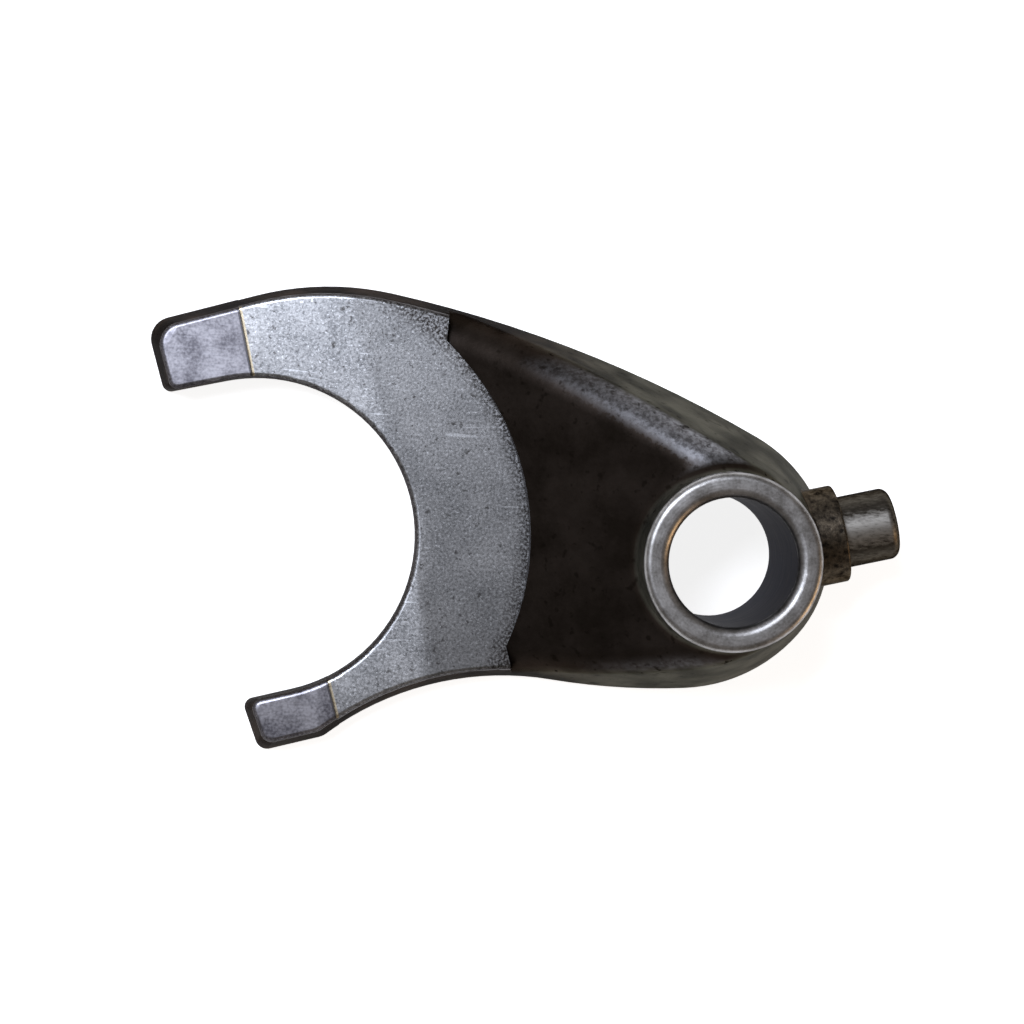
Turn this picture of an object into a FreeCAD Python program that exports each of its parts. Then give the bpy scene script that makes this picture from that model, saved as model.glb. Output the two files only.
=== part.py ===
import FreeCAD, Part
import math
import os
import Sketcher
from FreeCAD import Placement, Rotation, Vector

# Transmission shift fork, forged in steel as one piece.
# Frame: origin on the axis of the shaft bore, at the back face of the boss.
# +Z runs along the bore towards the raised ring, and -X points to the middle of the claws' opening.
# All lengths are millimetres and all angles are degrees.

SIZES = [
    ("bore_radius", 6.0, "shaft bore"),
    ("ring_mouth", 0.9, "rounding of the bore's mouth in the ring"),
    ("back_bevel", 0.4, "bevel at the bore's mouth in the back"),
    ("boss_length", 20.0, "back face to ring face"),
    ("ring_radius", 8.35, "turned ring round the bore"),
    ("ring_edge", 0.7, "rounding of the ring's outer edge"),
    ("back_face_radius", 9.2, "ground face at the back of the boss"),
    ("boss_foot_radius", 11.95, "forged boss at the parting line"),
    ("centre_distance", 44.35, "bore axis to centre of the opening"),
    ("opening_radius", 15.34, "opening that straddles the sliding gear's groove"),
    ("upper_mouth_turn", 13.5, "slope of the upper claw's inner edge"),
    ("lower_mouth_turn", 15.1, "slope of the lower claw's inner edge"),
    ("draft_angle", 12.5, "draft of every forged side wall"),
    ("back_relief", 0.3, "forged back stands this far in from the ground back faces"),
    ("crescent_height", 5.2, "crescent's front face, above the ground back faces"),
    ("claw_height", 5.0, "ground lands at the claw tips, thickness of the claws"),
    ("upper_hip_radius", 14.83, "outline where the back leaves the boss"),
    ("upper_hip_back", 2.58, "its centre, behind the bore axis"),
    ("back_radius", 126.0, "long upper edge"),
    ("crown_radius", 28.5, "top of the upper claw"),
    ("crown_lead", 5.81, "crown's centre past the opening's centre, along the upper claw"),
    ("upper_tip_turn", 17.0, "slope of the upper claw tip"),
    ("upper_tip_reach", 22.78, "opening's centre to the upper claw's outer edge"),
    ("upper_tip_end", 5.3, "opening's centre to the upper claw's end"),
    ("lower_hip_radius", 15.9, "outline where the belly leaves the boss"),
    ("lower_hip_back", 3.05, "its centre, behind the bore axis"),
    ("belly_radius", 65.9, "bulging lower edge"),
    ("belly_back", 6.9, "its centre, behind the bore axis"),
    ("hollow_radius", 29.0, "hollow lower edge of the lower claw"),
    ("lower_tip_turn", 15.5, "slope of the lower claw tip"),
    ("lower_tip_reach", 20.64, "opening's centre to the lower claw's outer edge"),
    ("lower_end_turn", 21.2, "slope of the lower claw's end"),
    ("lower_tip_end", 6.67, "opening's centre to the lower claw's end"),
    ("upper_corner", 2.2, "outer corner of the upper claw"),
    ("lower_corner", 1.2, "outer corner of the lower claw"),
    ("heel_reach", 6.43, "claw's end to the heel, where the hollow edge starts"),
    ("heel_corner", 2.0, "where the lower land meets the hollow edge"),
    ("inner_corner", 0.9, "inner corners of both claw tips"),
    ("ramp_turn", 12.0, "direction in which the web rises"),
    ("ramp_start", 21.15, "bore axis to the line where the web leaves the crescent"),
    ("ramp_end", 0.516, "bore axis to the line where the web turns level"),
    ("ramp_tail", 2.2, "buried length of the web, past that line"),
    ("ring_stand", 1.4, "ring face above the web's highest level"),
    ("ramp_crest", 14.0, "rounding where the ramp turns level"),
    ("shoulder", 3.0, "rounding of the web's shoulders"),
    ("ring_blend", 2.0, "hollow blend between web and ring"),
    ("clearance_radius", 26.3, "turned clearance round the gear, concentric with the opening"),
    ("upper_pad_place", 48.3, "direction from the opening's centre to the foot of the upper end"),
    ("upper_pad_turn", 87.0, "direction of the crescent's upper end"),
    ("lower_pad_place", 21.3, "direction from the opening's centre to the foot of the lower end"),
    ("lower_pad_turn", 74.0, "direction of the crescent's lower end"),
    ("upper_crease_turn", 20.8, "direction square to the upper prong's crease"),
    ("upper_crease_reach", 15.3, "opening's centre to that crease"),
    ("upper_prong_slope", 3.9, "fall of the upper prong towards its land"),
    ("upper_land_turn", 13.6, "direction square to the upper land's step"),
    ("upper_land_reach", 2.62, "opening's centre to that step"),
    ("lower_crease_turn", 6.5, "direction square to the lower prong's crease"),
    ("lower_crease_reach", 15.28, "opening's centre to that crease"),
    ("lower_prong_slope", 4.6, "fall of the lower prong towards its land"),
    ("lower_land_turn", 16.4, "direction square to the lower land's step"),
    ("lower_land_reach", 3.27, "opening's centre to that step"),
    ("pin_turn", 13.9, "direction of the guide pin"),
    ("pin_height", 8.0, "guide pin's axis above the back face"),
    ("pin_radius", 3.45, "guide pin"),
    ("pin_length", 5.27, "collar's face to the pin's end"),
    ("pin_edge", 0.9, "rounding of the pin's end"),
    ("collar_radius", 4.7, "collar at the pin's root, flush with the boss's foot"),
    ("collar_edge", 0.25, "rounding of the collar's face"),
    ("collar_blend", 0.3, "hollow blend between collar and boss"),
    ("edge_break", 0.5, "rounding of the forged front edges"),
    ("back_break", 0.5, "rounding of the back edges"),
]

doc = FreeCAD.newDocument("shift_fork")
sheet = doc.addObject("Spreadsheet::Sheet", "sizes")
for row, (alias, value, meaning) in enumerate(SIZES, start=1):
    sheet.set(f"A{row}", meaning)
    sheet.set(f"B{row}", str(value))
    sheet.setAlias(f"B{row}", alias)
doc.recompute()


def size(name):
    """A size from the sheet, as a number."""
    return float(sheet.get(name))


def web_top():
    """The web's highest level, beside the ring."""
    return size("boss_length") - size("ring_stand")


def heading(degrees):
    """A flat direction, turned from +X towards +Y."""
    return Vector(math.cos(math.radians(degrees)), math.sin(math.radians(degrees)), 0)


def origin_plane(body, role):
    """One of a body's own origin planes."""
    return next(feature for feature in body.Origin.OriginFeatures if feature.Role == role)


def flat_sketch(body, name, lift="0"):
    """A sketch seen from the front, lifted along +Z."""
    sketch = body.newObject("Sketcher::SketchObject", name)
    sketch.AttachmentSupport = [(origin_plane(body, "XY_Plane"), "")]
    sketch.MapMode = "FlatFace"
    sketch.setExpression("AttachmentOffset.Base.z", lift)
    return sketch


def side_sketch(body, name, turn, back="0", lift="0"):
    """An upright sketch: its x runs along the direction turned from +X, and its y is +Z."""
    sketch = body.newObject("Sketcher::SketchObject", name)
    sketch.AttachmentSupport = [(origin_plane(body, "XZ_Plane"), "")]
    sketch.MapMode = "FlatFace"
    sketch.AttachmentOffset = Placement(Vector(), Rotation(Vector(0, 1, 0), 1))
    sketch.setExpression("AttachmentOffset.Rotation.Angle", turn)
    sketch.setExpression("AttachmentOffset.Base.x", f"-1 * ({back})")
    sketch.setExpression("AttachmentOffset.Base.y", lift)
    return sketch


def bind(sketch, expression, kind, *references):
    """A driving dimension whose value comes from the sheet."""
    value = sketch.evalExpression(expression)
    if kind == "Angle":
        value = value.getValueAs("rad")
    dimension = sketch.addConstraint(Sketcher.Constraint(kind, *references, float(value)))
    sketch.setExpression(f"Constraints[{dimension}]", expression)


def beside(centre, distance, x, side):
    """The point at a distance from a centre and at a given x, above (+1) or below (-1) it."""
    return Vector(x, centre.y + side * math.sqrt(distance ** 2 - (x - centre.x) ** 2), 0)


def crossing(first, reach_first, second, reach_second):
    """The lower of the two points at given distances from two centres."""
    span = (second - first).Length
    along = (span ** 2 + reach_first ** 2 - reach_second ** 2) / (2 * span)
    across = math.sqrt(reach_first ** 2 - along ** 2)
    step = (second - first) / span
    ends = [first + step * along + Vector(-step.y, step.x, 0) * (across * side) for side in (-1, 1)]
    return min(ends, key=lambda point: point.y)


def lines_meet(point, direction, other_point, other_direction):
    """Where two flat lines cross."""
    offset = other_point - point
    turn = direction.x * other_direction.y - direction.y * other_direction.x
    return point + direction * ((offset.x * other_direction.y - offset.y * other_direction.x) / turn)


def outline_points():
    """Centres and corners of the fork's outline, worked out from the sizes."""
    boss = Vector()
    opening = Vector(-size("centre_distance"), 0, 0)
    foot = size("boss_foot_radius")
    upper_hip = beside(boss, size("upper_hip_radius") - foot, -size("upper_hip_back"), -1)
    upper_run = heading(size("upper_tip_turn"))
    upper_out = heading(size("upper_tip_turn") + 90)
    crown = opening + upper_run * size("crown_lead")
    crown += upper_out * (size("upper_tip_reach") - size("crown_radius"))
    back = crossing(crown, size("back_radius") - size("crown_radius"),
                    upper_hip, size("back_radius") - size("upper_hip_radius"))
    lower_hip = beside(boss, size("lower_hip_radius") - foot, -size("lower_hip_back"), 1)
    belly = beside(lower_hip, size("belly_radius") - size("lower_hip_radius"), -size("belly_back"), 1)
    upper_edge = opening + upper_out * size("upper_tip_reach")
    upper_corner = upper_edge - upper_run * size("upper_tip_end")
    lower_run = heading(size("lower_tip_turn"))
    lower_edge = opening - heading(size("lower_tip_turn") + 90) * size("lower_tip_reach")
    lower_across = heading(size("lower_end_turn") + 90)
    lower_end = opening - heading(size("lower_end_turn")) * size("lower_tip_end")
    lower_corner = lines_meet(lower_edge, lower_run, lower_end, lower_across)
    heel_line = lower_end + heading(size("lower_end_turn")) * size("heel_reach")
    heel = lines_meet(lower_edge, lower_run, heel_line, lower_across)
    hollow = crossing(belly, size("belly_radius") + size("hollow_radius"), heel, size("hollow_radius"))
    return {"boss": boss, "opening": opening, "upper_hip": upper_hip, "crown": crown, "back": back,
            "lower_hip": lower_hip, "belly": belly, "hollow": hollow, "heel": heel,
            "upper_corner": upper_corner, "lower_corner": lower_corner,
            "crown_start": upper_edge + upper_run * size("crown_lead")}


def add_line(sketch, start, end):
    return sketch.addGeometry(Part.LineSegment(start, end), False)


def add_arc(sketch, centre, start, end):
    """An arc about a centre, from start round to end against the clock."""
    circle = Part.Circle(centre, Vector(0, 0, 1), (start - centre).Length)
    first = math.atan2(start.y - centre.y, start.x - centre.x)
    last = math.atan2(end.y - centre.y, end.x - centre.x)
    return sketch.addGeometry(Part.ArcOfCircle(circle, first, last), False)


def touching(centre, radius, other):
    """The point of a circle that lies towards, or past, another circle's centre."""
    return centre + (other - centre).normalize() * radius


WEB_TOP = "sizes.boss_length - sizes.ring_stand"
START, END, CENTRE = range(1, 4)
ORIGIN = (-1, START)


def draw_outline(sketch):
    """The whole fork seen from the front, with the claws' mouth closed by a straight line."""
    spot = outline_points()
    arcs = ("upper_hip", "back", "crown", "lower_hip", "belly", "hollow")
    radius = {name: size(name + "_radius") for name in arcs}
    boss_up = touching(spot["upper_hip"], radius["upper_hip"], spot["boss"])
    boss_low = touching(spot["lower_hip"], radius["lower_hip"], spot["boss"])
    hip_back = touching(spot["back"], radius["back"], spot["upper_hip"])
    back_crown = touching(spot["back"], radius["back"], spot["crown"])
    belly_hip = touching(spot["belly"], radius["belly"], spot["lower_hip"])
    belly_hollow = touching(spot["belly"], radius["belly"], spot["hollow"])
    half_mouth = size("opening_radius") / 2
    upper_across = heading(size("upper_tip_turn") - 90)
    upper_fall = spot["upper_corner"].y - half_mouth
    upper_mouth = spot["upper_corner"] - upper_across * (upper_fall / upper_across.y)
    lower_across = heading(size("lower_end_turn") + 90)
    lower_rise = -half_mouth - spot["lower_corner"].y
    lower_mouth = spot["lower_corner"] + lower_across * (lower_rise / lower_across.y)

    boss = add_arc(sketch, spot["boss"], boss_low, boss_up)
    upper_hip = add_arc(sketch, spot["upper_hip"], boss_up, hip_back)
    back = add_arc(sketch, spot["back"], hip_back, back_crown)
    crown = add_arc(sketch, spot["crown"], back_crown, spot["crown_start"])
    upper_edge = add_line(sketch, spot["upper_corner"], spot["crown_start"])
    upper_end = add_line(sketch, upper_mouth, spot["upper_corner"])
    mouth = add_line(sketch, lower_mouth, upper_mouth)
    lower_end = add_line(sketch, spot["lower_corner"], lower_mouth)
    lower_edge = add_line(sketch, spot["lower_corner"], spot["heel"])
    hollow = add_arc(sketch, spot["hollow"], belly_hollow, spot["heel"])
    belly = add_arc(sketch, spot["belly"], belly_hollow, belly_hip)
    lower_hip = add_arc(sketch, spot["lower_hip"], belly_hip, boss_low)
    opening = sketch.addGeometry(Part.Point(spot["opening"]), True)

    joints = [(boss, END, upper_hip, START), (upper_hip, END, back, START), (back, END, crown, START),
              (crown, END, upper_edge, END), (hollow, START, belly, START), (belly, END, lower_hip, START),
              (lower_hip, END, boss, START)]
    corners = [(upper_edge, START, upper_end, END), (upper_end, START, mouth, END),
               (mouth, START, lower_end, END), (lower_end, START, lower_edge, START),
               (lower_edge, END, hollow, END)]
    for joint in joints:
        sketch.addConstraint(Sketcher.Constraint("Tangent", *joint))
    for corner in corners:
        sketch.addConstraint(Sketcher.Constraint("Coincident", *corner))
    sketch.addConstraint(Sketcher.Constraint("Coincident", boss, CENTRE, *ORIGIN))
    sketch.addConstraint(Sketcher.Constraint("PointOnObject", opening, START, -1))
    bind(sketch, "sizes.centre_distance", "DistanceX", opening, START, *ORIGIN)
    bind(sketch, "sizes.boss_foot_radius", "Radius", boss)
    for arc, name in ((upper_hip, "upper_hip"), (back, "back"), (crown, "crown"),
                      (lower_hip, "lower_hip"), (belly, "belly"), (hollow, "hollow")):
        bind(sketch, f"sizes.{name}_radius", "Radius", arc)
    for arc, name in ((upper_hip, "upper_hip"), (lower_hip, "lower_hip"), (belly, "belly")):
        bind(sketch, f"sizes.{name}_back", "DistanceX", arc, CENTRE, *ORIGIN)
    bind(sketch, "sizes.upper_tip_turn * 1 deg", "Angle", upper_edge)
    bind(sketch, "sizes.lower_tip_turn * 1 deg", "Angle", lower_edge)
    bind(sketch, "(sizes.lower_end_turn + 90) * 1 deg", "Angle", lower_end)
    sketch.addConstraint(Sketcher.Constraint("Perpendicular", upper_edge, upper_end))
    bind(sketch, "sizes.upper_tip_reach", "Distance", opening, START, upper_edge)
    bind(sketch, "sizes.upper_tip_end", "Distance", opening, START, upper_end)
    bind(sketch, "sizes.upper_tip_end + sizes.crown_lead", "Distance", upper_edge)
    bind(sketch, "sizes.lower_tip_reach", "Distance", opening, START, lower_edge)
    bind(sketch, "sizes.lower_tip_end", "Distance", opening, START, lower_end)
    bind(sketch, "sizes.heel_reach", "Distance", hollow, END, lower_end)
    bind(sketch, "sizes.opening_radius / 2", "DistanceY", *ORIGIN, mouth, END)
    bind(sketch, "sizes.opening_radius / 2", "DistanceY", mouth, START, *ORIGIN)


# Points closer than this lie on each other, and shorter edges are left alone.
TOUCH = 0.01
POINTS_TRIED = 5


def edges_where(shape, wanted):
    """Names of a shape's edges whose points all pass a test."""
    names = []
    for number, edge in enumerate(shape.Edges, start=1):
        if edge.Length > TOUCH and all(wanted(point) for point in edge.discretize(POINTS_TRIED)):
            names.append(f"Edge{number}")
    return names


# A corner's edge leans in with the draft, and is looked for within this many times that lean.
CORNER_SEARCH = 1.5


def corner_edges(shape, corner):
    """The edge that climbs up the claws' wall from a corner of the outline."""
    lean = CORNER_SEARCH * size("claw_height") * math.tan(math.radians(size("draft_angle")))
    near = edges_where(shape, lambda point: math.hypot(point.x - corner.x, point.y - corner.y) < lean)
    return [name for name in near if shape.getElement(name).BoundBox.ZLength > size("claw_height") / 2]


def wall_edges(shape, radius, low, high):
    """Edges on an upright round wall about the bore, between two heights."""
    return edges_where(shape, lambda point: abs(math.hypot(point.x, point.y) - radius) < TOUCH
                       and low - TOUCH < point.z < high + TOUCH)


def stub_edges(shape, radius, low, high):
    """Edges on a round wall about the guide pin's axis, between two distances from the bore."""
    out = heading(size("pin_turn"))
    return edges_where(shape, lambda point: low - TOUCH < point.dot(out) < high + TOUCH and abs(
        math.hypot(point.cross(out).z, point.z - size("pin_height")) - radius) < TOUCH)


def facing(face, point):
    """A face's outward direction at a point on it."""
    return face.normalAt(*face.Surface.parameter(point))


# The upward part of a face's direction, on the front and back faces and on the drafted walls.
LEAST_FACE_RISE = 0.9
MOST_WALL_RISE = 0.3


def rim_edges(shape, side):
    """Edges between the claws' walls and their front (+1) or back (-1) face."""
    names = []
    for number, edge in enumerate(shape.Edges, start=1):
        if edge.Length < TOUCH:
            continue
        middle = edge.valueAt((edge.FirstParameter + edge.LastParameter) / 2)
        rises = sorted(facing(face, middle).z * side for face in shape.ancestorsOfType(edge, Part.Face))
        if rises[-1] > LEAST_FACE_RISE and abs(rises[0]) < MOST_WALL_RISE:
            names.append(f"Edge{number}")
    return names


def pad_of(body, name, sketch, length):
    """Material added from a flat sketch, upwards."""
    pad = body.newObject("PartDesign::Pad", name)
    pad.Profile = sketch
    pad.setExpression("Length", length)
    doc.recompute()
    return pad


def pocket_of(body, name, sketch, length, reversed=True):
    """Material cut away from a sketch, upwards where the sketch is flat."""
    pocket = body.newObject("PartDesign::Pocket", name)
    pocket.Profile = sketch
    pocket.setExpression("Length", length)
    pocket.Reversed = reversed
    doc.recompute()
    return pocket


def round_edges(body, name, base, edges, radius):
    """Fillet of named edges."""
    fillet = body.newObject("PartDesign::Fillet", name)
    fillet.Base = (base, edges)
    fillet.setExpression("Radius", radius)
    doc.recompute()
    return fillet


def outline_prism(name, foot, height):
    """A body with the fork's outline padded from one level up to another."""
    body = doc.addObject("PartDesign::Body", name)
    sketch = flat_sketch(body, name + "_outline", foot)
    draw_outline(sketch)
    return body, pad_of(body, name + "_prism", sketch, f"{height} - ({foot})")


def drafted(body, name, base, walls):
    """Draft of the forged walls, which have their full size at the parting level."""
    parting = body.newObject("PartDesign::Plane", name + "_parting")
    parting.AttachmentSupport = [(origin_plane(body, "XY_Plane"), "")]
    parting.MapMode = "FlatFace"
    parting.setExpression("AttachmentOffset.Base.z", "sizes.back_relief")
    doc.recompute()
    draft = body.newObject("PartDesign::Draft", name)
    draft.Base = (base, walls)
    draft.NeutralPlane = (parting, [""])
    draft.setExpression("Angle", "sizes.draft_angle")
    doc.recompute()
    return draft


def upright_faces(shape, least_x):
    """Names of the upright walls whose middle lies past a given x."""
    names = []
    for number, face in enumerate(shape.Faces, start=1):
        first, last, low, high = face.ParameterRange
        upright = abs(face.normalAt((first + last) / 2, (low + high) / 2).z) < TOUCH
        if upright and face.CenterOfMass.x > least_x:
            names.append(f"Face{number}")
    return names


def claw_blank(name, foot, height):
    """The outline between two levels, with its walls drafted and the claws' outer corners rounded."""
    body, prism = outline_prism(name, foot, height)
    solid = drafted(body, name + "_draft", prism, upright_faces(prism.Shape, -2 * size("centre_distance")))
    spot = outline_points()
    rounded = {"upper_corner": "upper_corner", "lower_corner": "lower_corner", "heel": "heel_corner"}
    for corner, radius in rounded.items():
        edges = corner_edges(solid.Shape, spot[corner])
        solid = round_edges(body, f"{name}_{radius}", solid, edges, f"sizes.{radius}")
    return body, solid


def polygon(sketch, points, level, upright):
    """Closed run of lines through the points, some kept level and some upright by their number."""
    following = points[1:] + points[:1]
    lines = [add_line(sketch, point, other) for point, other in zip(points, following)]
    for line, other in zip(lines, lines[1:] + lines[:1]):
        sketch.addConstraint(Sketcher.Constraint("Coincident", line, END, other, START))
    for number in level:
        sketch.addConstraint(Sketcher.Constraint("Horizontal", lines[number]))
    for number in upright:
        sketch.addConstraint(Sketcher.Constraint("Vertical", lines[number]))
    return lines


def draw_opening(sketch):
    """The opening: most of a circle, with two straight runs out past the claw tips."""
    centre = Vector(-size("centre_distance"), 0, 0)
    radius = size("opening_radius")
    out = size("centre_distance")
    upper_run = heading(180 + size("upper_mouth_turn"))
    lower_run = heading(180 + size("lower_mouth_turn"))
    upper_start = centre + heading(90 + size("upper_mouth_turn")) * radius
    lower_start = centre + heading(size("lower_mouth_turn") - 90) * radius
    arc = add_arc(sketch, centre, lower_start, upper_start)
    upper = add_line(sketch, upper_start, upper_start + upper_run * out)
    lower = add_line(sketch, lower_start, lower_start + lower_run * out)
    close = add_line(sketch, upper_start + upper_run * out, lower_start + lower_run * out)
    sketch.addConstraint(Sketcher.Constraint("Tangent", arc, END, upper, START))
    sketch.addConstraint(Sketcher.Constraint("Tangent", arc, START, lower, START))
    sketch.addConstraint(Sketcher.Constraint("Coincident", upper, END, close, START))
    sketch.addConstraint(Sketcher.Constraint("Coincident", lower, END, close, END))
    sketch.addConstraint(Sketcher.Constraint("PointOnObject", arc, CENTRE, -1))
    bind(sketch, "sizes.centre_distance", "DistanceX", arc, CENTRE, *ORIGIN)
    bind(sketch, "sizes.opening_radius", "Radius", arc)
    bind(sketch, "(180 + sizes.upper_mouth_turn) * 1 deg", "Angle", upper)
    bind(sketch, "(180 + sizes.lower_mouth_turn) * 1 deg", "Angle", lower)
    bind(sketch, "sizes.centre_distance", "Distance", upper)
    bind(sketch, "sizes.centre_distance", "Distance", lower)


def inner_corners():
    """Where the opening's straight runs meet the ends of the claws."""
    spot = outline_points()
    radius = size("opening_radius")
    upper = lines_meet(spot["opening"] + heading(90 + size("upper_mouth_turn")) * radius,
                       heading(size("upper_mouth_turn")),
                       spot["upper_corner"], heading(size("upper_tip_turn") + 90))
    lower = lines_meet(spot["opening"] + heading(size("lower_mouth_turn") - 90) * radius,
                       heading(size("lower_mouth_turn")),
                       spot["lower_corner"], heading(size("lower_end_turn") + 90))
    return {"upper_inner": upper, "lower_inner": lower}


def finish_claws(body, solid, name):
    """Cuts the opening between the claws, then rounds the tips' inner corners and all the edges."""
    mouth = flat_sketch(body, name + "_mouth")
    draw_opening(mouth)
    solid = pocket_of(body, name + "_opening", mouth, "sizes.boss_length")
    for place, corner in inner_corners().items():
        edges = corner_edges(solid.Shape, corner)
        solid = round_edges(body, f"{name}_{place}", solid, edges, "sizes.inner_corner")
    front = rim_edges(solid.Shape, 1)
    solid = round_edges(body, name + "_front_edges", solid, front, "sizes.edge_break")
    back = rim_edges(solid.Shape, -1)
    return round_edges(body, name + "_back_edges", solid, back, "sizes.back_break")


def draw_past_crescent(sketch):
    """Everything past the crescent's flat front: the round clearance and the two straight ends."""
    middle = Vector(-size("centre_distance"), 0, 0)
    radius = size("clearance_radius")
    upper_start = middle + heading(size("upper_pad_place")) * radius
    lower_start = middle + heading(-size("lower_pad_place")) * radius
    far = size("centre_distance")
    upper_slant = heading(size("upper_pad_turn"))
    lower_slant = heading(-size("lower_pad_turn"))
    upper_end = upper_start + upper_slant * ((far - upper_start.y) / upper_slant.y)
    lower_end = lower_start + lower_slant * ((-far - lower_start.y) / lower_slant.y)
    round_edge = add_arc(sketch, middle, lower_start, upper_start)
    upper = add_line(sketch, upper_start, upper_end)
    top = add_line(sketch, upper_end, Vector(far, far, 0))
    side = add_line(sketch, Vector(far, far, 0), Vector(far, -far, 0))
    bottom = add_line(sketch, Vector(far, -far, 0), lower_end)
    lower = add_line(sketch, lower_end, lower_start)
    run = [(round_edge, END, upper, START), (upper, END, top, START), (top, END, side, START),
           (side, END, bottom, START), (bottom, END, lower, START), (lower, END, round_edge, START)]
    for joint in run:
        sketch.addConstraint(Sketcher.Constraint("Coincident", *joint))
    for line in (top, bottom):
        sketch.addConstraint(Sketcher.Constraint("Horizontal", line))
    sketch.addConstraint(Sketcher.Constraint("Vertical", side))
    sketch.addConstraint(Sketcher.Constraint("PointOnObject", round_edge, CENTRE, -1))
    bind(sketch, "sizes.centre_distance", "DistanceX", round_edge, CENTRE, *ORIGIN)
    bind(sketch, "sizes.clearance_radius", "Radius", round_edge)
    upper_foot = "sizes.clearance_radius * sin(sizes.upper_pad_place * 1 deg)"
    lower_foot = "sizes.clearance_radius * sin(sizes.lower_pad_place * 1 deg)"
    bind(sketch, upper_foot, "DistanceY", *ORIGIN, upper, START)
    bind(sketch, lower_foot, "DistanceY", lower, END, *ORIGIN)
    bind(sketch, "sizes.upper_pad_turn * 1 deg", "Angle", upper)
    bind(sketch, "(180 - sizes.lower_pad_turn) * 1 deg", "Angle", lower)
    bind(sketch, "sizes.centre_distance", "DistanceX", *ORIGIN, side, START)
    bind(sketch, "sizes.centre_distance", "DistanceY", *ORIGIN, side, START)
    bind(sketch, "sizes.centre_distance", "DistanceY", side, END, *ORIGIN)


def slope_prong(body, name, upper):
    """Cuts a prong's front face down from its crease towards the claw's tip."""
    sketch = side_sketch(body, name + "_slope_side", f"sizes.{name}_crease_turn",
                         "sizes.centre_distance", "sizes.crescent_height")
    crease = size(name + "_crease_reach")
    end = -size("centre_distance")
    roof = size("claw_height")
    drop = (crease - end) * math.tan(math.radians(size(name + "_prong_slope")))
    corners = [Vector(crease, 0, 0), Vector(crease, roof, 0), Vector(end, roof, 0),
               Vector(end, -drop, 0)]
    step, top, close, slope = polygon(sketch, corners, (1,), (0, 2))
    sketch.addConstraint(Sketcher.Constraint("PointOnObject", step, START, -1))
    bind(sketch, f"sizes.{name}_crease_reach", "DistanceX", *ORIGIN, step, START)
    bind(sketch, "sizes.claw_height", "DistanceY", *ORIGIN, top, START)
    bind(sketch, "sizes.centre_distance", "DistanceX", close, START, *ORIGIN)
    bind(sketch, f"sizes.{name}_prong_slope * 1 deg", "Angle", slope)
    return pocket_of(body, name + "_slope", sketch, "2 * sizes.centre_distance", not upper)


def step_cut(body, name, upper):
    """Takes away everything past a claw's step, on that claw's side of the opening."""
    sketch = side_sketch(body, name + "_step_side", f"sizes.{name}_land_turn", "sizes.centre_distance")
    near = size(name + "_land_reach")
    far = 2 * size("centre_distance")
    high = size("boss_length")
    corners = [Vector(near, -high, 0), Vector(far, -high, 0), Vector(far, high, 0),
               Vector(near, high, 0)]
    floor, wall, roof, step = polygon(sketch, corners, (0, 2), (1, 3))
    bind(sketch, f"sizes.{name}_land_reach", "DistanceX", *ORIGIN, step, START)
    bind(sketch, "2 * sizes.centre_distance", "DistanceX", *ORIGIN, wall, START)
    bind(sketch, "sizes.boss_length", "DistanceY", *ORIGIN, roof, START)
    bind(sketch, "sizes.boss_length", "DistanceY", floor, START, *ORIGIN)
    return pocket_of(body, name + "_step", sketch, "2 * sizes.centre_distance", not upper)


def make_lands():
    """The two claw tips, ground to the claws' thickness."""
    body, solid = claw_blank("lands", "0", "sizes.claw_height")
    finish_claws(body, solid, "lands")
    step_cut(body, "upper", True)
    step_cut(body, "lower", False)
    return body


def draw_ramp(sketch):
    """Everything above the web's slope, and all of the fork left of the slope's buried tail."""
    rise = (web_top() - size("crescent_height")) / (size("ramp_start") - size("ramp_end"))
    far = 2 * size("centre_distance")
    high = 2 * size("boss_length")
    tail = -size("ramp_start") - size("ramp_tail")
    tail_height = size("crescent_height") - size("ramp_tail") * rise
    crest = -size("ramp_end")
    corners = [Vector(-far, -high, 0), Vector(tail, -high, 0), Vector(tail, tail_height, 0),
               Vector(crest, web_top(), 0), Vector(far, web_top(), 0), Vector(far, high, 0),
               Vector(-far, high, 0)]
    floor, step, ramp, level, wall, roof, close = polygon(sketch, corners, (0, 3, 5), (1, 4, 6))
    foot = sketch.addGeometry(Part.Point(Vector(-size("ramp_start"), size("crescent_height"), 0)), True)
    sketch.addConstraint(Sketcher.Constraint("PointOnObject", foot, START, ramp))
    bind(sketch, "sizes.ramp_start", "DistanceX", foot, START, *ORIGIN)
    bind(sketch, "sizes.crescent_height", "DistanceY", *ORIGIN, foot, START)
    bind(sketch, "sizes.ramp_start + sizes.ramp_tail", "DistanceX", step, START, *ORIGIN)
    bind(sketch, "sizes.ramp_end", "DistanceX", level, START, *ORIGIN)
    bind(sketch, WEB_TOP, "DistanceY", *ORIGIN, level, START)
    bind(sketch, "2 * sizes.centre_distance", "DistanceX", *ORIGIN, level, END)
    bind(sketch, "2 * sizes.centre_distance", "DistanceX", floor, START, *ORIGIN)
    bind(sketch, "2 * sizes.boss_length", "DistanceY", *ORIGIN, roof, START)
    bind(sketch, "2 * sizes.boss_length", "DistanceY", floor, START, *ORIGIN)


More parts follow.
